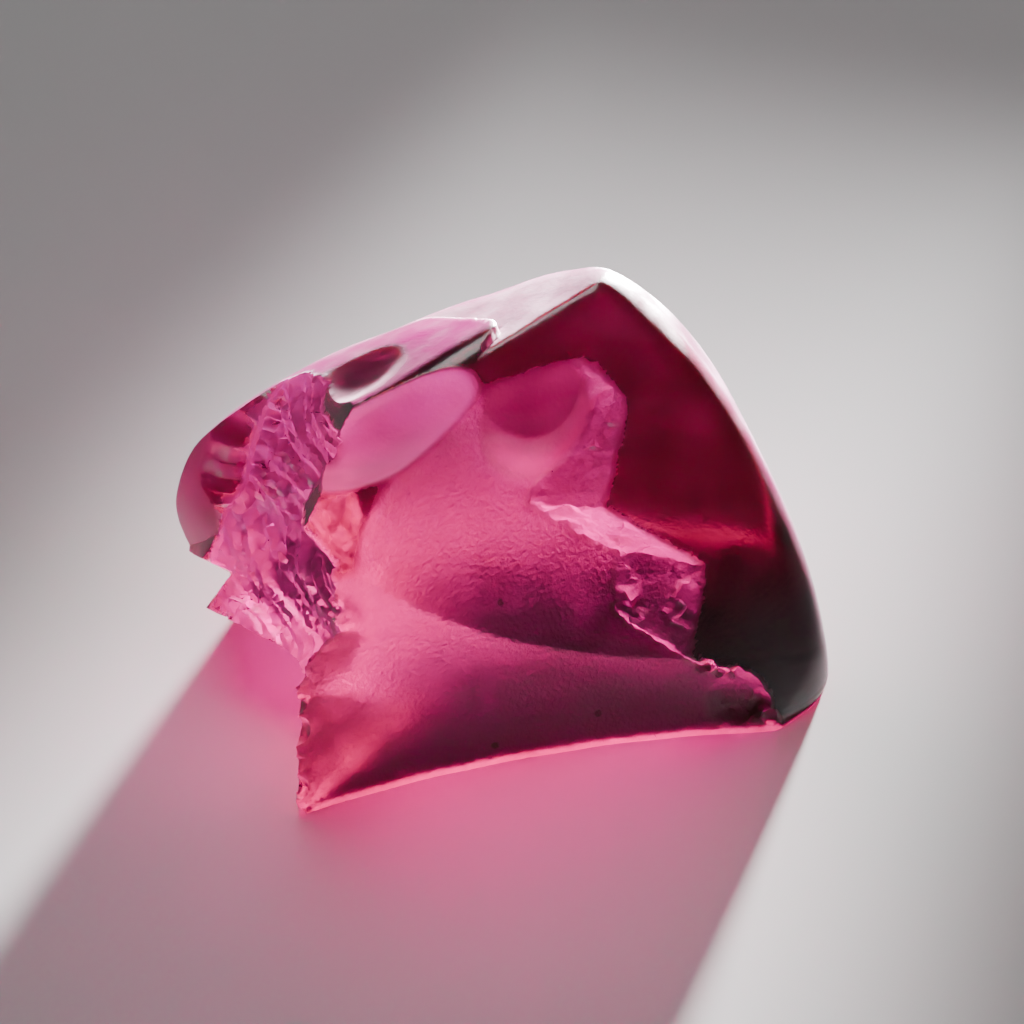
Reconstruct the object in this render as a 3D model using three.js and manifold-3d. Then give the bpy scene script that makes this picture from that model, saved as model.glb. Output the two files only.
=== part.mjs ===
// A rough zircon crystal: one waterworn stone with a fresh fracture on its left
// end, a wide flake scar across its front and a long scoop above the scar.
//
// The worn outside is written as a distance formula, in millimetres: below zero
// inside the stone and above zero outside. A closed net of triangles is drawn
// in from all sides until it lies on that surface. The scar, the scoop and the
// fracture are then cut away with shapes made of balls and blocks.
//
// +X is to the right, +Y to the back and +Z up. The origin lies under the
// middle of the stone, on the flat underside that it rests on.

import * as THREE from 'three';
import { mergeVertices } from 'three/addons/utils/BufferGeometryUtils.js';
import Module from 'manifold-3d';

// ---- Driving dimensions (mm) ------------------------------------------------

const HEART = new THREE.Vector3(0.5, -0.5, 5.5); // all of the worn outside can be seen from here
const REACH = 17; // no part of the stone is farther than this from its heart
const SKIN_ROUNDING = 0.8; // how softly the worn faces run into each other
const SKIN_NET = 19; // extra net lines between two corners of a 20-sided ball
const WAVE_HEIGHT = 0.05; // low waves that wear has left on the skin
const WAVE_LENGTH = 5.5;
const SOLE_DEPTH = 0.4; // the stone is formed this far below its underside, then cut flat
const HALVINGS = 20; // each brings a point of the skin twice as near to its true place

const BREAK_FACET = 1; // triangle size on the curved faces of the breaks
const SMALL_FACET = 0.6; // triangle size on the knob, the scoop and the thin flake's bed
const CHIP_FACET = 0.3; // triangle size on the chips

const HACKLE_STEP = 0.7; // from the crest of a ledge of the fracture to the next trough
const HACKLE_HEIGHT = 0.2; // from trough to crest
const HACKLE_SWAY = 0.35; // how far the ledges wander from straight lines
const HACKLE_TURN = 1.9; // how quickly they wander, in radians per mm
const HACKLE_ROUND = 36; // corners around a ledge

// ---- Faces ------------------------------------------------------------------

// A direction from an azimuth (0 is right, 90 is back, -90 is front) and an
// elevation above the level, both in degrees.
function direction(azimuth, elevation) {
  const a = THREE.MathUtils.degToRad(azimuth);
  const e = THREE.MathUtils.degToRad(elevation);
  return new THREE.Vector3(Math.cos(e) * Math.cos(a), Math.cos(e) * Math.sin(a), Math.sin(e));
}

// The centre of a ball that a face belongs to. The face passes through a point
// and looks the given way. A positive radius makes the face bulge, and a
// negative one makes it hollow.
function ballCentre(x, y, z, azimuth, elevation, radius) {
  return direction(azimuth, elevation).multiplyScalar(-radius).add(new THREE.Vector3(x, y, z));
}

// Distance to a flat face through a point, looking the given way.
function flat(x, y, z, azimuth, elevation) {
  const normal = direction(azimuth, elevation);
  const offset = normal.dot(new THREE.Vector3(x, y, z));
  return (p) => normal.dot(p) - offset;
}

// Distance to a ball of stone.
function ball(centre, radius) {
  return (p) => p.distanceTo(centre) - radius;
}

// Distance to a bulging face.
function bulging(x, y, z, azimuth, elevation, radius) {
  return ball(ballCentre(x, y, z, azimuth, elevation, radius), radius);
}

// The larger of two distances, with the crease between them rounded off.
function roundedMax(a, b) {
  const overlap = Math.max(SKIN_ROUNDING - Math.abs(a - b), 0) / SKIN_ROUNDING;
  return Math.max(a, b) + overlap * overlap * SKIN_ROUNDING * 0.25;
}

// ---- The worn outside of the stone --------------------------------------------

const skinFaces = [
  bulging(0, 7.4, 5, 90, 8, 16), // back
  bulging(-3, 4.4, 9.75, 121, 44, 60), // long slope from the top down to the left
  bulging(9.4, -1, 5, 6, 19, 24), // right flank
  bulging(5.8, -2.7, 5.5, -60, 27, 50), // dome on the front right
  flat(2.2, 0.6, 12.95, -76, 51), // brow over the scar
  flat(4.6, 2, 12.6, 14, 50), // top
  flat(-1, 2.1, 11.8, 148, 62), // strip behind the scoop
  flat(-9.15, 2.9, 8.1, 150, 46), // shoulder of the left lobe
  flat(-9.3, 2, 7, 155.5, 32.7), // worn corner of the left lobe
  flat(-10.2, 2.2, 4.6, 178, 6), // end of the left lobe
  flat(-8.8, 0.5, 2.2, 185, -45), // under the left lobe
  flat(9, -4.9, 0.9, -30, -8), // foot on the front right
  flat(0, 0, -SOLE_DEPTH, 0, -90), // sole, cut flat at the end
];

// Low waves, as water and other stones leave them.
function waves(p) {
  const turn = (2 * Math.PI) / WAVE_LENGTH;
  const across = Math.sin(turn * (p.x + 0.4 * p.z)) * Math.sin(turn * (0.8 * p.y - 0.5 * p.x) + 1);
  const upward = Math.sin(turn * (0.7 * p.z + 0.5 * p.y) + 2);
  return WAVE_HEIGHT * (across + 0.6 * upward);
}

function skinDistance(p) {
  return skinFaces.map((face) => face(p)).reduce(roundedMax) + waves(p);
}

// The point in a given direction from the heart that lies the given depth under
// the skin, found by halving the stretch that holds it.
function pointUnderSkin(way, depth) {
  let inner = 0;
  let outer = REACH;
  for (let i = 0; i < HALVINGS; i += 1) {
    const middle = (inner + outer) / 2;
    if (skinDistance(HEART.clone().addScaledVector(way, middle)) < -depth) {
      inner = middle;
    } else {
      outer = middle;
    }
  }
  return HEART.clone().addScaledVector(way, inner);
}

// ---- Solids ---------------------------------------------------------------------

const wasm = await Module();
wasm.setup();

function toSolid(geometry) {
  geometry.deleteAttribute('normal');
  geometry.deleteAttribute('uv');
  const merged = mergeVertices(geometry);
  return new wasm.Manifold(
    new wasm.Mesh({
      numProp: 3,
      vertProperties: new Float32Array(merged.getAttribute('position').array),
      triVerts: new Uint32Array(merged.getIndex().array),
    }),
  );
}

function toGeometry(solid) {
  const mesh = solid.getMesh();
  const geometry = new THREE.BufferGeometry();
  geometry.setAttribute('position', new THREE.BufferAttribute(mesh.vertProperties, 3));
  geometry.setIndex(new THREE.BufferAttribute(mesh.triVerts, 1));
  geometry.computeVertexNormals();
  return geometry;
}

// The stone without its breaks: a ball-shaped net whose points are drawn in
// until they lie the given depth under the skin.
function skinSolid(depth) {
  const net = new THREE.IcosahedronGeometry(1, SKIN_NET);
  const positions = net.getAttribute('position');
  for (let i = 0; i < positions.count; i += 1) {
    const way = new THREE.Vector3().fromBufferAttribute(positions, i).normalize();
    positions.setXYZ(i, ...pointUnderSkin(way, depth).toArray());
  }
  return toSolid(net);
}

// A ball made of triangles of about the given size. It can be stretched along a
// way, by the given factor.
function ballSolid(centre, radius, facet, stretch = 1, way = new THREE.Vector3(0, 0, 1)) {
  const cornerSpacing = 1.05 * radius;
  const detail = Math.ceil(cornerSpacing / facet) - 1;
  const round = new THREE.IcosahedronGeometry(radius, detail).scale(1, 1, stretch);
  round.applyQuaternion(new THREE.Quaternion().setFromUnitVectors(new THREE.Vector3(0, 0, 1), way));
  return toSolid(round.translate(...centre.toArray()));
}

// Everything in front of a flat face through a point, as far as a cut needs.
function openSide(point, normal) {
  const size = 4 * REACH;
  const block = new THREE.BoxGeometry(size, size, size).translate(0, 0, size / 2);
  block.applyQuaternion(new THREE.Quaternion().setFromUnitVectors(new THREE.Vector3(0, 0, 1), normal));
  return toSolid(block.translate(...point.toArray()));
}

// ---- The flake scar on the front ----------------------------------------------

const SCAR_FLOOR_RADIUS = 18.7;
const LOWER_FACE_RADIUS = 40;
const KNOB_CENTRE = new THREE.Vector3(0.1, 1.35, 9.73);
const KNOB_RADIUS = 3.3;
const KNOB_DROP = 0.2; // the knob stands this far below the old skin
const SCOOP_CENTRE = new THREE.Vector3(-2.64, -2.9, 11.96);
const SCOOP_RADIUS = 1.52;
const SCOOP_STRETCH = 2.36; // the scoop is this many times longer than it is wide
const SCOOP_WAY = direction(21.5, 20.5);

// The dome ends in a step along this line of corners, from the top left to the
// foot on the right.
const stepCorners = [
  new THREE.Vector3(0, 0.1, 12.1),
  new THREE.Vector3(3.58, -0.4, 10.5),
  new THREE.Vector3(3.24, -2.5, 8.1),
  new THREE.Vector3(6.6, -2.4, 5.75),
  new THREE.Vector3(6.4, -4.1, 3.1),
  new THREE.Vector3(8.5, -3.6, 0.9),
];

// How many degrees each wall of the step leans back from standing upright.
const wallTilts = [6, 35, 6, 6, 6];

// The open side of a wall that drops from the line between two corners towards
// the heart. Going from the first corner to the second, with the heart below,
// the open side is on the right.
function wallSide(cornerA, cornerB, tiltDegrees) {
  const edge = cornerB.clone().sub(cornerA).normalize();
  const inward = HEART.clone().sub(cornerA);
  inward.addScaledVector(edge, -inward.dot(edge)).normalize();
  const tilt = THREE.MathUtils.degToRad(tiltDegrees);
  const normal = inward.clone().cross(edge).multiplyScalar(Math.cos(tilt));
  normal.addScaledVector(inward, -Math.sin(tilt));
  return openSide(cornerA, normal);
}

function flakeSolid() {
  const [top, side, ledge, drop, foot] = wallTilts.map((tilt, i) => {
    return wallSide(stepCorners[i], stepCorners[i + 1], tilt);
  });
  const inFrontOfStep = top.intersect(side.add(ledge.intersect(drop.add(foot))));
  const scarFloor = ballSolid(
    ballCentre(1.85, -3.05, 4.98, -65.6, 30.8, -SCAR_FLOOR_RADIUS),
    SCAR_FLOOR_RADIUS,
    BREAK_FACET,
  );
  const lowerFace = ballSolid(
    ballCentre(-0.5, -4.41, 5, -73.6, 5.5, -LOWER_FACE_RADIUS),
    LOWER_FACE_RADIUS,
    BREAK_FACET,
  );
  const scoop = ballSolid(SCOOP_CENTRE, SCOOP_RADIUS, SMALL_FACET, SCOOP_STRETCH, SCOOP_WAY);
  // The flake left a rounded knob of stone standing under the brow.
  const knob = ballSolid(KNOB_CENTRE, KNOB_RADIUS, SMALL_FACET).intersect(skinSolid(KNOB_DROP));
  return scarFloor.add(lowerFace).intersect(inFrontOfStep).add(scoop).subtract(knob);
}

// ---- The fresh fracture on the left ---------------------------------------------

const hackleWay = direction(13, 29); // the ledges follow each other this way
const hackleDrift = direction(60, 20);

// A ball-shaped bite with sharp ledges. Every second ring of the ball is raised,
// and its pole is turned to point the way the ledges follow each other.
function hackledBite(x, y, z, radius) {
  const rings = 2 * Math.round((Math.PI * radius) / HACKLE_STEP / 2);
  const bite = new THREE.SphereGeometry(1, HACKLE_ROUND, rings);
  const turned = new THREE.Quaternion().setFromUnitVectors(new THREE.Vector3(0, 1, 0), hackleWay);
  const positions = bite.getAttribute('position');
  for (let i = 0; i < positions.count; i += 1) {
    const point = new THREE.Vector3().fromBufferAttribute(positions, i);
    const ring = Math.round((point.angleTo(new THREE.Vector3(0, 1, 0)) / Math.PI) * rings);
    const raised = radius + (ring % 2 === 0 ? HACKLE_HEIGHT / 2 : -HACKLE_HEIGHT / 2);
    point.multiplyScalar(raised).applyQuaternion(turned).add(new THREE.Vector3(x, y, z));
    point.addScaledVector(hackleWay, -HACKLE_SWAY * Math.sin(HACKLE_TURN * hackleDrift.dot(point)));
    positions.setXYZ(i, ...point.toArray());
  }
  return toSolid(bite);
}

function fractureSolid() {
  const upperBite = hackledBite(-9.9, -1.3, 9.8, 5.15);
  const lowerBite = hackledBite(-8.7, -3.6, 6.4, 4.4);
  const besideLobe = openSide(new THREE.Vector3(-7.9, 1.1, 7.4), direction(-35, -3));
  return upperBite.add(lowerBite).intersect(besideLobe);
}

// The lobe at the left end is set back beyond the fracture. Its front is only
// cut beyond the fence, so that the rest of the stone keeps its reach.
function lobeCut() {
  const fence = openSide(new THREE.Vector3(-8.5, 0, 5), direction(180, 33.5));
  const radius = 9;
  return fence.subtract(ballSolid(ballCentre(-9.1, 0.9, 5, -140, 8, radius), radius, BREAK_FACET));
}

// The left end hangs clear of the ground: a side face below, and an underside.
function overhangCut() {
  const corner = new THREE.Vector3(-5.8, -6.1, 4.05);
  const leftSide = openSide(corner, direction(162, -1));
  const underside = openSide(corner, direction(-127.4, -56.9));
  return leftSide.intersect(underside);
}

// A notch parts the lobe from the tip of the fracture below it.
function notchCut() {
  const corner = new THREE.Vector3(-8.3, 0, 3.36);
  return openSide(corner, direction(-126, -41)).intersect(openSide(corner, direction(157, 29)));
}

// ---- The lip over the scoop -------------------------------------------------------

const LIP_HEIGHT = 0.35;

// A thin layer has split off the strip behind the scoop. What is left of it ends
// in a low step on the right, and this is the lip.
function lipCut() {
  const strip = direction(148, 62);
  const below = new THREE.Vector3(-1, 2.1, 11.8).addScaledVector(strip, -LIP_HEIGHT);
  const back = openSide(new THREE.Vector3(-0.9, 2, 11.85), direction(42.5, 8));
  const end = openSide(new THREE.Vector3(-0.35, -0.3, 12.5), direction(-27.4, 28));
  return openSide(below, strip).intersect(back.add(end));
}

// ---- Chips ------------------------------------------------------------------------

// Small bites out of the sharp edges: x, y, z and radius.
const chips = [
  [7.6, -4.95, 1.5, 1.8], // broken corner at the foot of the step
  [6.35, -3.6, 2.55, 0.35],
  [6.85, -3.6, 2.3, 0.28],
  [7.35, -3.5, 2.15, 0.3],
  [8.1, -3.6, 1.1, 0.45],
  [8.5, -3.75, 0.55, 0.35],
  [-6.05, -6.45, 3.75, 0.35], // left edge of the front
  [-6.05, -6.75, 2.9, 0.5],
  [-6, -7.05, 1.75, 0.3],
  [-6, -7.25, 0.95, 0.42],
  [-6.15, -7.6, -0.1, 0.55],
];

// ---- The whole stone --------------------------------------------------------------

function stoneSolid() {
  const cuts = [
    flakeSolid(),
    fractureSolid(),
    lobeCut(),
    overhangCut(),
    notchCut(),
    lipCut(),
    ballSolid(new THREE.Vector3(-6.4, 1.5, 15.02), 5.12, SMALL_FACET), // bed of a thin flake
    ...chips.map(([x, y, z, radius]) => ballSolid(new THREE.Vector3(x, y, z), radius, CHIP_FACET)),
    openSide(new THREE.Vector3(0, 0, 0), new THREE.Vector3(0, 0, -1)), // below the ground
  ];
  return cuts.reduce((stone, cut) => stone.subtract(cut), skinSolid(0));
}

// ---- Scene ---------------------------------------------------------------------------------

const zirconMaterial = new THREE.MeshStandardMaterial({
  name: 'pink_zircon',
  color: 0xc8195a,
  roughness: 0.35,
  metalness: 0,
});

const zircon = new THREE.Mesh(toGeometry(stoneSolid()), zirconMaterial);
zircon.name = 'zircon';

const roughZircon = new THREE.Group();
roughZircon.name = 'rough_zircon';
roughZircon.add(zircon);

export default roughZircon;
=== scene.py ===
# %% [markdown]
# # A rough pink zircon
#
# The real stone is a single crystal about two centimetres across. Its outside
# is worn smooth like a pebble's. Its left end is freshly broken and full of
# sharp ledges, a wide flake has come off its front, and a long scoop runs
# above that scar. Light goes right through it.
#
# The stone is built here in three steps. A distance formula says what is stone
# and what is air. A net of points is drawn in to the place where the formula
# is zero. A glass-like material then gets its finish from that same formula.

import bmesh
import bpy
import numpy as np
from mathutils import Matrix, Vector


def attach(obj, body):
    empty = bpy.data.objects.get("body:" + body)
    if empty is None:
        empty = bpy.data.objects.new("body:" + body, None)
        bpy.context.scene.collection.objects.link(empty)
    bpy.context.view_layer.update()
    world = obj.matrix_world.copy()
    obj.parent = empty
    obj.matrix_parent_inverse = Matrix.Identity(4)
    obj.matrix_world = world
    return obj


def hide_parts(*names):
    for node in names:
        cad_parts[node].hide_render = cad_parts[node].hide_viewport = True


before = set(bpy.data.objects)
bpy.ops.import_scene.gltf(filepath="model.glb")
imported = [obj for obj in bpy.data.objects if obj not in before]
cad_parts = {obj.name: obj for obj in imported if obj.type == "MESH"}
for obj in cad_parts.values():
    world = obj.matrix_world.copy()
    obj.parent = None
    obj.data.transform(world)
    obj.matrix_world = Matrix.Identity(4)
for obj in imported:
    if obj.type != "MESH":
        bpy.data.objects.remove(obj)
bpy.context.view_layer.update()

# %% [markdown]
# ## Faces as distances
#
# A distance formula takes points and tells for each how far it lies outside
# the stone, in millimetres; inside, the number is negative. A flat face is a
# plane. A worn face bulges a little and a break is a little hollow, so those
# are parts of large balls. Plain formulas like these keep every edge exact,
# however fine the mesh is later.

# %% Planes and balls


def direction(azimuth, elevation):
    """A direction of length 1: azimuth 0 is right, 90 is back, -90 is front; elevation 90 is up."""
    a, e = np.radians(azimuth), np.radians(elevation)
    return np.array([np.cos(e) * np.cos(a), np.cos(e) * np.sin(a), np.sin(e)])


def flat(point, azimuth, elevation):
    """How far p lies in front of a flat face: (p - point) . way."""
    way = direction(azimuth, elevation)
    return lambda p: p @ way - way @ np.array(point)


def ball(centre, radius):
    """How far p lies outside a ball: |p - centre| - radius."""
    return lambda p: np.linalg.norm(p - np.array(centre), axis=1) - radius


def bite(centre, radius):
    """How far p lies inside a ball that is gone: radius - |p - centre|."""
    return lambda p: radius - np.linalg.norm(p - np.array(centre), axis=1)


def stretched_bite(centre, radius, azimuth, elevation, stretch):
    """A bite by a ball that is longer along one way: radius - |arm|.

    The arm is p - centre, with its part along the way divided by the stretch.
    """
    way = direction(azimuth, elevation)

    def distance(p):
        arm = p - np.array(centre)
        arm = arm - (1 - 1 / stretch) * (arm @ way)[:, None] * way
        return radius - np.linalg.norm(arm, axis=1)

    return distance


def bulging(point, azimuth, elevation, radius):
    """A face through a point that bulges: the near side of a ball centred behind it."""
    return ball(np.array(point) - radius * direction(azimuth, elevation), radius)


def hollow(point, azimuth, elevation, radius):
    """A face through a point that is hollow: the far side of a ball centred in front of it."""
    return bite(np.array(point) + radius * direction(azimuth, elevation), radius)


def rounded_max(a, b, rounding):
    """The larger of a and b, plus (overlap squared) x rounding / 4.

    Overlap is 1 on the crease and falls to 0 where a and b differ by the rounding.
    """
    overlap = np.maximum(rounding - np.abs(a - b), 0) / rounding
    return np.maximum(a, b) + overlap**2 * rounding / 4


def rounded_min(a, b, rounding):
    """The smaller of a and b, rounded in the same way."""
    return -rounded_max(-a, -b, rounding)


# %% [markdown]
# ## Uneven surfaces
#
# No natural face is perfect. Water leaves low waves on the skin, and a break
# leaves ripples, ledges and crumbs. All of these are made of sine waves that
# run in many seeded directions, so the stone is the same on every run.

# %% Ripples and crumbs


def ripples(p, length, seed, count=7):
    """The mean of several sine waves of one length, running in seeded directions with seeded starts."""
    rng = np.random.default_rng(seed)
    ways = rng.normal(size=(count, 3))
    ways /= np.linalg.norm(ways, axis=1, keepdims=True)
    starts = rng.uniform(0, 2 * np.pi, count)
    return np.sin(2 * np.pi / length * (p @ ways.T) + starts).mean(axis=1)


def crumbs(p, length, seed, count=9):
    """Flat-sided lumps: the largest of several waves at each point, so that creases part them."""
    rng = np.random.default_rng(seed)
    ways = rng.normal(size=(count, 3))
    ways /= np.linalg.norm(ways, axis=1, keepdims=True)
    starts = rng.uniform(0, 2 * np.pi, count)
    waves = np.sin(2 * np.pi / length * (p @ ways.T) + starts)
    return 2 * (1 - waves.max(axis=1)) - 0.3


# %% [markdown]
# ## The worn skin
#
# A pebble's skin is a few broad faces that run softly into each other. The
# largest of their distances is their common solid, and rounding the creases
# between them over most of a millimetre gives the worn look.

# %% Worn skin
SKIN_ROUNDING = 0.8
SOLE_DEPTH = 0.4  # the rounded skin goes this far below the ground before the sole is cut flat

skin_faces = [
    bulging((0, 7.4, 5), 90, 8, 16),  # back
    bulging((-3, 4.4, 9.75), 121, 44, 60),  # long slope from the top down to the left
    bulging((9.4, -1, 5), 6, 19, 24),  # right flank
    bulging((5.8, -2.7, 5.5), -60, 27, 50),  # dome on the front right
    flat((2.2, 0.6, 12.95), -76, 51),  # brow over the scar
    flat((4.6, 2, 12.6), 14, 50),  # top
    flat((-1, 2.1, 11.8), 148, 62),  # strip behind the scoop
    flat((-9.15, 2.9, 8.1), 150, 46),  # shoulder of the left lobe
    flat((-9.3, 2, 7), 155.5, 32.7),  # worn corner of the left lobe
    flat((-10.2, 2.2, 4.6), 178, 6),  # end of the left lobe
    flat((-8.8, 0.5, 2.2), 185, -45),  # under the left lobe
    flat((9, -4.9, 0.9), -30, -8),  # foot on the front right
    flat((0, 0, -SOLE_DEPTH), 0, -90),  # sole, cut flat at the end
]


WAVE_LENGTH = 5.5
WAVE_HEIGHT = 0.05


def water_waves(p):
    """Low waves: one sine across times another, plus a third that runs upwards."""
    turn = 2 * np.pi / WAVE_LENGTH
    x, y, z = p.T
    across = np.sin(turn * (x + 0.4 * z)) * np.sin(turn * (0.8 * y - 0.5 * x) + 1)
    return WAVE_HEIGHT * (across + 0.6 * np.sin(turn * (0.7 * z + 0.5 * y) + 2))


def skin(p):
    """The rounded largest of all skin faces, plus the waves."""
    worn = skin_faces[0](p)
    for face in skin_faces[1:]:
        worn = rounded_max(worn, face(p), SKIN_ROUNDING)
    return worn + water_waves(p)


# %% [markdown]
# ## The flake scar
#
# A blow took a wide flake off the front. Its floor and the face under it are
# two shallow hollows that meet in one long crease. On the right the flake
# ended against the dome in a step with a broken, crumbly wall. The step is a
# chain of flat walls between corners. Above the scar runs a long smooth scoop,
# and the knob under the brow is what the flake left standing.

# %% Flake scar
HEART = np.array([0.5, -0.5, 5.5])  # a point well inside, in line with the step's walls

scar_floor = hollow((1.85, -3.05, 4.98), -65.6, 30.8, 18.7)
lower_face = hollow((-0.5, -4.41, 5), -73.6, 5.5, 40)

step_corners = np.array(
    [
        (0, 0.1, 12.1),
        (3.58, -0.4, 10.5),
        (3.24, -2.5, 8.1),
        (6.6, -2.4, 5.75),
        (6.4, -4.1, 3.1),
        (8.5, -3.6, 0.9),
    ]
)
wall_tilts = (6, 35, 6, 6, 6)  # degrees that each wall leans back from upright


def wall(corner_a, corner_b, tilt):
    """A plane through two corners that runs inwards near the heart.

    Its way is (inward x edge) cos tilt - inward sin tilt.
    """
    edge = (corner_b - corner_a) / np.linalg.norm(corner_b - corner_a)
    inward = HEART - corner_a
    inward = inward - (inward @ edge) * edge
    inward /= np.linalg.norm(inward)
    lean = np.radians(tilt)
    way = np.cross(inward, edge) * np.cos(lean) - inward * np.sin(lean)
    return lambda p: (p - corner_a) @ way


step_walls = [wall(*pair) for pair in zip(step_corners, step_corners[1:], wall_tilts)]
knob = ball((0.1, 1.35, 9.73), 3.3)
KNOB_DROP = 0.2  # the knob's top lies this far under the old skin
KNOB_ROUNDING = 0.3
scoop = stretched_bite((-2.64, -2.9, 11.96), 1.52, 21.5, 20.5, 2.36)
SCOOP_ROUNDING = 0.2


def step(p):
    """Above zero in front of the step.

    The walls' distances are joined by larger-of at inner corners and smaller-of at outer ones.
    """
    top, side, ledge, drop, foot = [face(p) for face in step_walls]
    return np.minimum(top, np.maximum(side, np.minimum(ledge, np.maximum(drop, foot))))


def scar_faces(p):
    """The larger of the two hollow faces, with low ripples."""
    return np.maximum(scar_floor(p), lower_face(p)) + 0.03 * ripples(p, 2.6, 3)


def broken_wall(p):
    """The step with coarse and fine crumbs."""
    return step(p) + 0.13 * crumbs(p, 1.5, 5) + 0.05 * crumbs(p, 0.6, 6)


def flake(p, outside):
    """Above zero where the flake came away, but not in the knob.

    That is in front of the step and above the hollow faces, or in the scoop.
    """
    standing = np.maximum(knob(p) + 0.03 * ripples(p, 1.8, 4), outside + KNOB_DROP)
    before_step = np.minimum(scar_faces(p), broken_wall(p))
    gone = rounded_max(before_step, scoop(p) + 0.02 * ripples(p, 2.1, 7), SCOOP_ROUNDING)
    return rounded_min(gone, standing, KNOB_ROUNDING)


# %% [markdown]
# ## The fresh fracture
#
# The left end broke last: two bites overlap there, and both are covered with
# hackle, the sharp ledges that a crack leaves as it runs. Hackle is a triangle
# wave that goes up and down along one direction and wanders a little sideways;
# smaller waves of the same kind ride on it. It is calm on one bright facet.

# %% Fracture
HACKLE_STEP = 0.7  # from the crest of a ledge to the next trough
HACKLE_HEIGHT = 0.2
SWAY = 0.35  # how far the ledges wander to either side
CALM_RADIUS = 1.6  # round the calm spot, the ledges grow to full height over this distance
CALM_LEAST = 0.15  # their height at the calm spot itself
hackle_way = direction(13, 29)
hackle_drift = direction(60, 20)
calm_spot = np.array((-6.4, -3.1, 3.9))


def triangle(t):
    """1 at even whole numbers, -1 at odd ones, and straight lines between."""
    return 1 - 2 * np.abs(t - 2 * np.round(t / 2))


def hackled_bite(centre, radius):
    """A bite whose radius goes up and down by the triangle of its angle from the hackle's way.

    Before that, p is swayed along the way: p + way x sine of (p . drift).
    """
    rings = 2 * round(np.pi * radius / HACKLE_STEP / 2)

    def distance(p):
        swayed = p + SWAY * np.sin(1.9 * (p @ hackle_drift))[:, None] * hackle_way
        arm = swayed - np.array(centre)
        length = np.linalg.norm(arm, axis=1)
        turn = np.arccos(np.clip(arm @ hackle_way / length, -1, 1)) / np.pi * rings
        fine = 0.05 * triangle(3.1 * turn + 0.8 * ripples(p, 1.3, 8))
        finest = 0.018 * triangle(9.3 * turn + 1.2 * ripples(p, 0.8, 9))
        calm = np.clip(np.linalg.norm(p - calm_spot, axis=1) / CALM_RADIUS, CALM_LEAST, 1)
        return radius + calm * (HACKLE_HEIGHT / 2 * triangle(turn) + fine + finest) - length

    return distance


upper_bite = hackled_bite((-9.9, -1.3, 9.8), 5.15)
lower_bite = hackled_bite((-8.7, -3.6, 6.4), 4.4)
beside_lobe = flat((-7.9, 1.1, 7.4), -35, -3)


def fracture(p):
    """The larger of the two bites, with a few coarse lumps, as far as the edge of the lobe."""
    bites = np.maximum(upper_bite(p), lower_bite(p)) + 0.06 * crumbs(p, 1.1, 10)
    return np.minimum(bites, beside_lobe(p) + 0.05 * crumbs(p, 1.9, 13))


# %% [markdown]
# ## The left end and the chips
#
# Beyond the fracture a smooth lobe of old skin is left, set a little back.
# Below it the stone hangs clear of the ground, and a notch parts the lobe from
# the tip of the fracture. Small bites along the sharp edges are the chips that
# every broken stone has.

# %% Left end and chips
lobe_front = bulging((-9.1, 0.9, 5), -140, 8, 9)
lobe_fence = flat((-8.5, 0, 5), 180, 33.5)
left_side = flat((-5.8, -6.1, 4.05), 162, -1)
underside = flat((-5.8, -6.1, 4.05), -127.4, -56.9)
notch_top = flat((-8.3, 0, 3.36), -126, -41)
notch_side = flat((-8.3, 0, 3.36), 157, 29)

chips = [
    bite((7.6, -4.95, 1.5), 1.8),  # broken corner at the foot of the step
    bite((6.35, -3.6, 2.55), 0.35),
    bite((6.85, -3.6, 2.3), 0.28),
    bite((7.35, -3.5, 2.15), 0.3),
    bite((8.1, -3.6, 1.1), 0.45),
    bite((8.5, -3.75, 0.55), 0.35),
    bite((-6.05, -6.45, 3.75), 0.35),  # left edge of the front
    bite((-6.05, -6.75, 2.9), 0.5),
    bite((-6, -7.05, 1.75), 0.3),
    bite((-6, -7.25, 0.95), 0.42),
    bite((-6.15, -7.6, -0.1), 0.55),
]


def left_end(p):
    """The largest of three wedges, each the smaller of two distances.

    They lie in front of the lobe, under the overhang, and in the notch.
    """
    front = np.minimum(lobe_front(p), lobe_fence(p))
    below = np.minimum(left_side(p) + 0.08 * crumbs(p, 0.9, 11), underside(p))
    notch = np.minimum(notch_top(p), notch_side(p)) + 0.04 * crumbs(p, 0.8, 14)
    return np.max([front, below, notch], axis=0)


def chipped(p):
    """The largest of all chips, slightly lumpy."""
    return np.max([chip(p) for chip in chips], axis=0) + 0.05 * crumbs(p, 0.7, 12)


# %% [markdown]
# ## The lip over the scoop
#
# Behind the scoop a thin layer has split off the old skin. What is left of it
# ends in a low step beside the knob. Further left a shallow flake no thicker
# than a fingernail has left a smooth bed.

# %% Lip
LIP_HEIGHT = 0.35
LIP_CORNER = 0.5  # rounding of the corner between the lip's two edges
strip = flat((-1, 2.1, 11.8), 148, 62)
split_back = flat((-0.9, 2, 11.85), 42.5, 8)
split_end = flat((-0.35, -0.3, 12.5), -27.4, 28)
thin_bed = bite((-6.4, 1.5, 15.02), 5.12)


def split(p):
    """The layer that is gone above the lowered strip and beyond the lip's edges, and the thin bed."""
    beyond = rounded_max(split_back(p), split_end(p), LIP_CORNER) + 0.04 * crumbs(p, 0.8, 15)
    layer = np.minimum(strip(p) + LIP_HEIGHT, beyond)
    return np.maximum(layer, thin_bed(p)) + 0.02 * ripples(p, 1.7, 16)


# %% [markdown]
# ## The whole stone
#
# Cutting is taking the larger of two distances: a point is stone only if it is
# inside everything. The parts are kept by name, because the material asks
# later which of them made each spot of the surface.

# %% One formula
SCAR_ROUNDING = 0.12


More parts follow.
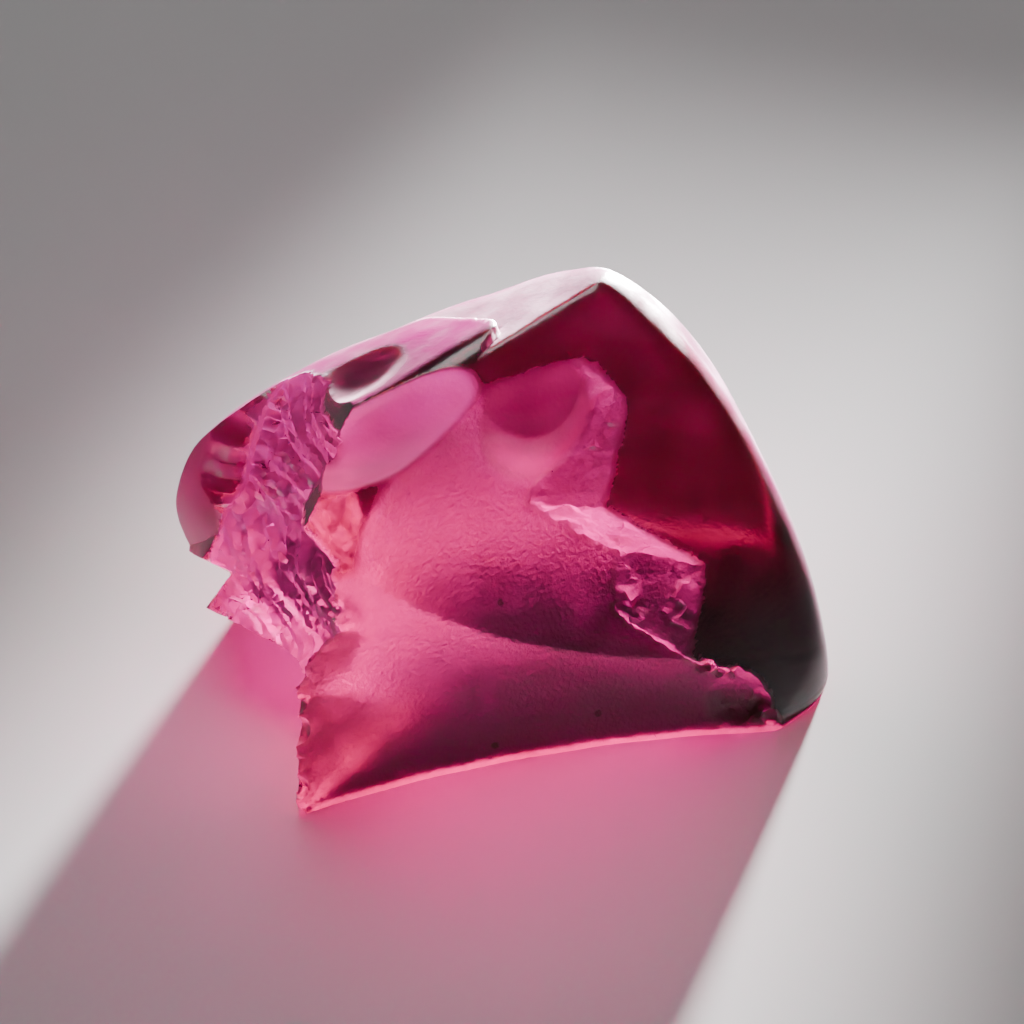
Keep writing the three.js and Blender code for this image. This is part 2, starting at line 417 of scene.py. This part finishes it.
def parts_of_stone(p):
    """All distances that shape the stone, by name."""
    outside = skin(p)
    return {
        "skin": outside,
        "flake": flake(p, outside),
        "lip": split(p),
        "fracture": fracture(p),
        "left end": left_end(p),
        "chips": chipped(p),
        "ground": -p[:, 2],
    }


def stone(p):
    """The largest of all parts, with the rims of the scar and of the lip slightly rounded."""
    part = parts_of_stone(p)
    old = rounded_max(part["skin"], part["lip"], SCAR_ROUNDING)
    worn = rounded_max(old, part["flake"], SCAR_ROUNDING)
    sharp = [part[name] for name in ("fracture", "left end", "chips", "ground")]
    return np.maximum(worn, np.max(sharp, axis=0))


# %% [markdown]
# ## A net drawn in to the surface
#
# All of the surface can be seen from the heart of the stone. So the first
# mesh is a function of two numbers, azimuth and elevation: how far is the
# surface in that direction? The answer is found for all directions at once by
# halving the stretch that holds it.

# %% Draw in
REACH = 17  # mm from the heart, beyond every part of the stone
COLUMNS, ROWS = 480, 240
HALVINGS = 14  # 17 mm halved this often is a thousandth of a millimetre


def surface_from_heart(azimuth, elevation):
    """heart + r x way(azimuth, elevation), where r is found by halving.

    At r the stone formula turns from below zero to above it.
    """
    level = np.cos(elevation)
    ways = np.stack([level * np.cos(azimuth), level * np.sin(azimuth), np.sin(elevation)], axis=-1)
    ways = ways.reshape(-1, 3)
    inner, outer = np.zeros(len(ways)), np.full(len(ways), float(REACH))
    for _ in range(HALVINGS):
        middle = (inner + outer) / 2
        is_stone = stone(HEART + middle[:, None] * ways) < 0
        inner, outer = np.where(is_stone, middle, inner), np.where(is_stone, outer, middle)
    return HEART + inner[:, None] * ways


def ball_net(columns, rows):
    """Faces of a closed net: rows of quads round the middle and a fan of triangles at each pole."""
    ring = np.arange(columns)
    beside = (ring + 1) % columns
    start = 1 + columns * np.arange(rows - 1)[:, None]
    above = start + columns
    quads = np.stack([start + ring, start + beside, above + beside, above + ring], axis=-1)
    south = np.stack([np.zeros_like(ring), 1 + beside, 1 + ring], axis=-1)
    last = 1 + columns * (rows - 1)
    north = np.stack([np.full_like(ring, last + columns), last + ring, last + beside], axis=-1)
    return quads.reshape(-1, 4).tolist() + south.tolist() + north.tolist()


elevations = np.linspace(-np.pi / 2, np.pi / 2, ROWS + 2)[1:-1]
azimuths = np.arange(COLUMNS) * 2 * np.pi / COLUMNS
grid = surface_from_heart(*np.meshgrid(azimuths, elevations))
poles = surface_from_heart(np.zeros(2), np.array([-np.pi / 2, np.pi / 2]))
net_points = np.vstack([poles[:1], grid, poles[1:]])
net_mesh = bpy.data.meshes.new("net")
net_mesh.from_pydata(net_points.tolist(), [], ball_net(COLUMNS, ROWS))
print("net:", len(net_mesh.vertices), "points")

# %% [markdown]
# ## Even faces, exactly on the surface
#
# Seen from the heart, steep walls get too few points. Blender's Remesh
# modifier replaces the net by even faces of one size. Each point is then
# moved along the formula's slope until the formula is zero there. Last, a
# point beside a crease is moved to the spot where its neighbours' faces meet,
# so that edges come out sharp.

# %% Settle
FACE_SIZE = 0.125  # mm
SLOPE_STEP = 0.01  # mm over which the slope is measured
HOLD = 0.12  # weight that keeps a point in place along a face or an edge


def slope_and_distance(p):
    """The formula at p, and its slope from steps of a hundredth of a millimetre along x, y and z."""
    here = stone(p)
    slope = np.stack([stone(p + SLOPE_STEP * axis) - here for axis in np.eye(3)], axis=1) / SLOPE_STEP
    return here, slope


def settle(p, rounds):
    """Newton's steps: p - distance x slope / |slope|^2, none longer than half a face."""
    for _ in range(rounds):
        here, slope = slope_and_distance(p)
        move = -here[:, None] * slope / np.maximum((slope**2).sum(axis=1, keepdims=True), 0.05)
        length = np.linalg.norm(move, axis=1, keepdims=True)
        p = p + move * np.minimum(1, FACE_SIZE / 2 / np.maximum(length, 1e-9))
    return p


def sharpen(p, edges):
    """Moves p by m to the point nearest to the tangent planes of p and its neighbours.

    Solves (own n n' + weight + sum n n') m = sum n (n . gap), for all points at once.
    """
    slope = slope_and_distance(p)[1]
    normal = slope / np.maximum(np.linalg.norm(slope, axis=1, keepdims=True), 1e-9)
    own, other = np.vstack([edges, edges[:, ::-1]]).T
    n = normal[other]
    gap = (n * (p[other] - p[own])).sum(axis=1)
    weights = np.zeros((len(p), 3, 3))
    pull = np.zeros((len(p), 3))
    for i in range(3):
        pull[:, i] = np.bincount(own, n[:, i] * gap, len(p))
        for j in range(3):
            weights[:, i, j] = np.bincount(own, n[:, i] * n[:, j], len(p)) + HOLD * (i == j)
            weights[:, i, j] += normal[:, i] * normal[:, j]
    move = np.linalg.solve(weights, pull[:, :, None])[:, :, 0]
    length = np.linalg.norm(move, axis=1, keepdims=True)
    return p + move * np.minimum(1, 0.6 * FACE_SIZE / np.maximum(length, 1e-9))


net_object = bpy.data.objects.new("net", net_mesh)
bpy.context.collection.objects.link(net_object)
remesh = net_object.modifiers.new("even faces", "REMESH")
remesh.mode = "VOXEL"
remesh.voxel_size = FACE_SIZE
evaluated = net_object.evaluated_get(bpy.context.evaluated_depsgraph_get())
stone_mesh = bpy.data.meshes.new_from_object(evaluated)
bpy.data.objects.remove(net_object)

points = np.empty(3 * len(stone_mesh.vertices))
stone_mesh.vertices.foreach_get("co", points)
points = settle(points.reshape(-1, 3), 6)
edges = np.empty(2 * len(stone_mesh.edges), dtype=np.int64)
stone_mesh.edges.foreach_get("vertices", edges)
for _ in range(2):
    points = sharpen(points, edges.reshape(-1, 2))
points[:, 2] = np.maximum(points[:, 2], 0)
largest_miss = float(np.abs(stone(points)).max())
print("even faces:", len(stone_mesh.polygons), "largest miss (mm):", round(largest_miss, 3))

# %% [markdown]
# ## The finished mesh
#
# The points are written back in metres. Faces are shaded smooth, apart from
# the edges where two faces meet at a steep angle.

# %% Write the mesh
SHARP_ANGLE = 38  # degrees between two faces above which their edge stays sharp
stone_mesh.vertices.foreach_set("co", (points / 1000).ravel())
stone_mesh.name = "rough_zircon"
stone_mesh.update()

zircon = bpy.data.objects.new("rough_zircon", stone_mesh)
bpy.context.collection.objects.link(zircon)
mesh_tool = bmesh.new()
mesh_tool.from_mesh(stone_mesh)
bmesh.ops.recalc_face_normals(mesh_tool, faces=mesh_tool.faces)
mesh_tool.to_mesh(stone_mesh)
mesh_tool.free()
stone_mesh.shade_smooth()
stone_mesh.set_sharp_from_angle(angle=np.radians(SHARP_ANGLE))
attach(zircon, "root")
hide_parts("zircon")

# %% [markdown]
# ## What each spot of the surface is
#
# Each kind of surface has its own finish: the worn skin is smooth, the scar is
# frosted like ground glass, and the fresh breaks are painted pale as a painted
# glow. At a spot of the surface, the part that made it is at zero and the
# others are below. So a share of 1 at zero that falls to 0 a little below it
# tells the kinds apart, with soft borders between them. The shaded dome is the
# skin that faces front right and up, painted darker there as painted shade. The
# shares are kept on the mesh as attributes, where the material can read them.

# %% Shares
BORDER = 0.12  # mm over which one kind of surface gives way to the next
# painted shade: the skin that faces front right and up is painted darker
SHADE_FROM, SHADE_FULL = 0.6, 0.9  # cosine to the dome's way where the dark zone begins and is full


def share(distance):
    """1 where a distance is zero, falling in a straight line to 0 at BORDER on either side."""
    return np.clip(1 - np.abs(distance) / BORDER, 0, 1)


part = parts_of_stone(points)
on_flake = share(part["flake"])
on_wall = on_flake * share(broken_wall(points))
on_scoop = on_flake * share(scoop(points)) * (1 - on_wall)
on_knob = on_flake * np.clip(1 - np.maximum(knob(points), 0) / BORDER, 0, 1) * (1 - on_wall)
normals = np.empty(len(points) * 3)
stone_mesh.vertex_normals.foreach_get("vector", normals)
facing = normals.reshape(-1, 3) @ direction(-50, 45)
lobe_break = share(part["left end"]) * (lobe_front(points) < -BORDER)
shares = {
    # painted shade: darker where the skin faces front right and up
    "shaded_dome": np.clip((facing - SHADE_FROM) / (SHADE_FULL - SHADE_FROM), 0, 1),
    "scar": on_flake * (1 - on_wall) * (1 - on_scoop) * (1 - on_knob),
    "scoop": on_scoop,
    "knob": on_knob,
    "wall": np.maximum(on_wall, share(part["chips"])),
    "fresh": np.maximum(share(part["fracture"]), lobe_break),
    "lip": share(part["lip"]),
    "sole": share(part["ground"]),
}
for name, values in shares.items():
    attribute = stone_mesh.attributes.new(name, "FLOAT", "POINT")
    attribute.data.foreach_set("value", values.astype(np.float32))
    print(name, "covers", round(float(values.mean()) * 100), "% of the points")

# %% [markdown]
# ## The material
#
# Zircon bends light strongly, with an index of refraction near 1.95. Its
# colour sits inside: green light fades within a few millimetres, blue within
# twenty, and red hardly at all, so thin edges are pale pink and the thick
# middle is deep crimson. The surface changes how clearly one sees in, and its
# colours also carry painted shade on the dome and painted light on the scoop,
# the broken wall and the fresh breaks.

# %% Glass and its inside
stone_material = bpy.data.materials.new("pink_zircon")
stone_material.use_nodes = True
tree = stone_material.node_tree
principled = tree.nodes["Principled BSDF"]
principled.inputs["Transmission Weight"].default_value = 0.94
principled.inputs["IOR"].default_value = 1.95
principled.inputs["Specular IOR Level"].default_value = 0.1

absorption = tree.nodes.new("ShaderNodeVolumeAbsorption")
absorption.inputs["Color"].default_value = (0.985, 0.0, 0.78, 1)
absorption.inputs["Density"].default_value = 225
tree.links.new(absorption.outputs["Volume"], tree.nodes["Material Output"].inputs["Volume"])

# %% [markdown]
# ## The finishes
#
# A finish is a colour for the light that passes the surface and a roughness.
# The nodes start from the pale worn skin and mix in each other finish by its
# share. Small helpers add a node and join its sockets, so that each effect
# further on is one line.

# %% Finishes
SKIN = ((1.0, 0.015, 0.45), 0.2)
FINISHES = {
    # painted shade: dark colour on the skin that faces front right and up
    "shaded_dome": ((0.55, 0.003, 0.12), 0.22),
    "scar": ((1.0, 0.006, 0.52), 0.45),
    # painted highlight: the scoop's pale colour stands for light shining through it
    "scoop": ((1.0, 0.7, 0.9), 0.7),
    "knob": ((0.85, 0.02, 0.34), 0.36),
    # painted light: the broken wall and chips are painted lighter so they do not fall dark
    "wall": ((1.0, 0.15, 0.6), 0.42),
    "lip": ((1.0, 0.12, 0.48), 0.35),
    # painted light: the fresh breaks are painted pale as a glow of light shining through them
    "fresh": ((1.0, 0.45, 0.8), 0.4),
    "sole": ((0.9, 0.1, 0.45), 0.8),
}


def add_node(kind, inputs, output=0, **settings):
    """Adds a node with its settings, and joins or sets each of its inputs; gives back one output."""
    node = tree.nodes.new("ShaderNode" + kind)
    for name, value in settings.items():
        setattr(node, name, value)
    for key, value in inputs.items():
        if isinstance(value, bpy.types.NodeSocket):
            tree.links.new(value, node.inputs[key])
        else:
            node.inputs[key].default_value = value
    return node.outputs[output]


def mix_colour(first, second, factor, blend="MIX"):
    """first x (1 - factor) + second x factor, or another way of blending two colours."""
    return add_node("Mix", {6: first, 7: second, 0: factor}, 2, data_type="RGBA", blend_type=blend)


def mix_value(first, second, factor):
    """first x (1 - factor) + second x factor."""
    return add_node("Mix", {2: first, 3: second, 0: factor})


def read_share(name):
    """The share of one kind of surface, 0 to 1."""
    return add_node("Attribute", {}, "Fac", attribute_name=name)


place = add_node("TexCoord", {}, "Object")
colour = (*SKIN[0], 1)
roughness = SKIN[1]
for name, (finish_colour, finish_roughness) in FINISHES.items():
    colour = mix_colour(colour, (*finish_colour, 1), read_share(name))
    roughness = mix_value(roughness, finish_roughness, read_share(name))

# %% [markdown]
# ## Clouds, streaks and specks
#
# No zircon is evenly clear. Soft clouds darken some of it, and long faint
# streaks follow the way the crystal grew. A few dark grains of other minerals
# sit just under the surface, and a larger one lies beside the lip.

# %% Clouds, streaks and specks


def noise(scale, detail, stretch=(1, 1, 1), turn=(0, 0, 0)):
    """Noise with so many lumps per metre, 0 to 1 and mostly near a half, stretched and turned."""
    turned = add_node("Mapping", {"Vector": place, "Rotation": turn, "Scale": stretch})
    return add_node("TexNoise", {"Vector": turned, "Scale": scale, "Detail": detail})


def spread(value, low, high, to_low, to_high):
    """Stretches the numbers from low to high over to_low to to_high."""
    return add_node("MapRange", {"Value": value, 1: low, 2: high, 3: to_low, 4: to_high})


clouds = spread(noise(170, 1), 0.4, 0.65, 0.0, 0.5)  # about 6 mm wide
colour = mix_colour(colour, (0.35, 0.02, 0.12, 1), clouds, "MULTIPLY")
along_growth = noise(420, 2, (0.18, 1, 1), (0, 0.5, 0.6))  # about 2 mm wide and 13 mm long
streaks = spread(along_growth, 0.5, 0.7, 0.0, 0.18)
colour = mix_colour(colour, (1.0, 0.45, 0.7, 1), streaks, "SCREEN")

SPECKS = [
    ((0.1, -3.69, 5.4), 0.13),  # place and radius, in mm
    ((3.11, -4.1, 1.16), 0.15),
    ((-0.06, -4.96, 0.67), 0.16),
    ((6.32, -1.58, 6.86), 0.14),
    ((-0.75, -0.66, 12.39), 0.3),
]
WOBBLE = 0.0002  # metres by which the noise moves the outline of a speck
shake = add_node("TexNoise", {"Vector": place, "Scale": 5000.0}, "Color")
wobble = add_node("VectorMath", {0: shake, 3: WOBBLE}, operation="SCALE")
crumbly = add_node("VectorMath", {0: place, 1: wobble}, operation="ADD")
for centre, radius in SPECKS:
    middle = [c / 1000 + WOBBLE / 2 for c in centre]
    gap = add_node("VectorMath", {0: crumbly, 1: middle}, "Value", operation="DISTANCE")
    covered = spread(gap, 0.6 * radius / 1000, radius / 1000, 0.9, 0.0)
    colour = mix_colour(colour, (0.1, 0.02, 0.03, 1), covered)
tree.links.new(colour, principled.inputs["Base Color"])

# %% [markdown]
# ## Grain
#
# Seen close, frosted stone is covered with pits a tenth of a millimetre wide.
# They are too fine for the mesh, so a Bump node tilts the light there. The
# worn skin keeps only faint scratches of the same kind.

# %% Grain
pits = noise(7000, 2)
depth = mix_value(0.15, 1.0, read_share("scar"))
depth = mix_value(depth, 0.8, read_share("wall"))
PIT_DEPTH = 0.00004  # metres
height = add_node("Math", {0: pits, 1: depth}, operation="MULTIPLY")
grain = add_node("Bump", {"Height": height, "Distance": PIT_DEPTH})
tree.links.new(grain, principled.inputs["Normal"])
scuffs = spread(noise(900, 4), 0.35, 0.65, -0.05, 0.05)
roughness = add_node("Math", {0: roughness, 1: scuffs}, operation="ADD")
tree.links.new(roughness, principled.inputs["Roughness"])
stone_mesh.materials.clear()
stone_mesh.materials.append(stone_material)
print("material:", len(tree.nodes), "nodes")

# %% [markdown]
# ## The floor
#
# The stone lies on pale paper. A plain square far wider than the view stands
# in for it, with its top at height zero, where the stone's sole is.

# %% Floor
FLOOR_SIDE = 0.6  # metres from the middle to each edge
floor_mesh = bpy.data.meshes.new("floor")
corners = [(FLOOR_SIDE * x, FLOOR_SIDE * y, 0) for x, y in ((-1, -1), (1, -1), (1, 1), (-1, 1))]
floor_mesh.from_pydata(corners, [], [(0, 1, 2, 3)])
floor = bpy.data.objects.new("floor", floor_mesh)
bpy.context.collection.objects.link(floor)
floor_material = bpy.data.materials.new("pale_paper")
floor_material.use_nodes = True
floor_shader = floor_material.node_tree.nodes["Principled BSDF"]
floor_shader.inputs["Base Color"].default_value = (0.5, 0.49, 0.49, 1)
floor_mesh.materials.append(floor_material)

# %% [markdown]
# ## The light
#
# A coloured crystal shows its colour only when light passes through it, as on
# a gem dealer's lamp. So a small soft box with a narrow beam stands low behind
# the stone, a little to the right. A large soft box high above and behind lights
# the floor evenly, and a faint grey world fills the darkest places.

# %% Light


def area_light(name, place, aim, width, height, watts):
    """A soft box at place, turned to face aim; distances in metres."""
    data = bpy.data.lights.new(name, "AREA")
    data.shape = "RECTANGLE"
    data.size = width
    data.size_y = height
    data.energy = watts
    light = bpy.data.objects.new(name, data)
    light.location = place
    light.rotation_euler = (Vector(aim) - Vector(place)).to_track_quat("-Z", "Y").to_euler()
    bpy.context.collection.objects.link(light)
    return light


back = area_light("back", (0.037, 0.104, 0.0125), (0, 0, 0.0115), 0.024, 0.008, 0.24)
back.data.spread = np.radians(13)
area_light("over", (-0.03, 0.13, 0.27), (0, 0, 0), 0.2, 0.2, 0.38)
world = bpy.data.worlds.new("studio")
world.use_nodes = True
world.node_tree.nodes["Background"].inputs["Color"].default_value = (1, 1, 1, 1)
world.node_tree.nodes["Background"].inputs["Strength"].default_value = 0.03
bpy.context.scene.world = world

# %% [markdown]
# ## The camera
#
# The stone is seen from the front and from forty degrees above the level, with
# a long lens, so that its near and far edges keep their true proportions.

# %% Camera
CAMERA_DISTANCE = 0.11  # metres
aim = Vector((0.00046, 0, 0.00585))
angle = np.radians(40)
camera = bpy.data.objects.new("camera", bpy.data.cameras.new("camera"))
camera.location = aim + CAMERA_DISTANCE * Vector((0, -np.cos(angle), np.sin(angle)))
camera.rotation_euler = (aim - camera.location).to_track_quat("-Z", "Y").to_euler()
camera.data.sensor_width = 36
camera.data.lens = 125.3
camera.data.clip_start = 0.005
bpy.context.collection.objects.link(camera)
bpy.context.scene.camera = camera
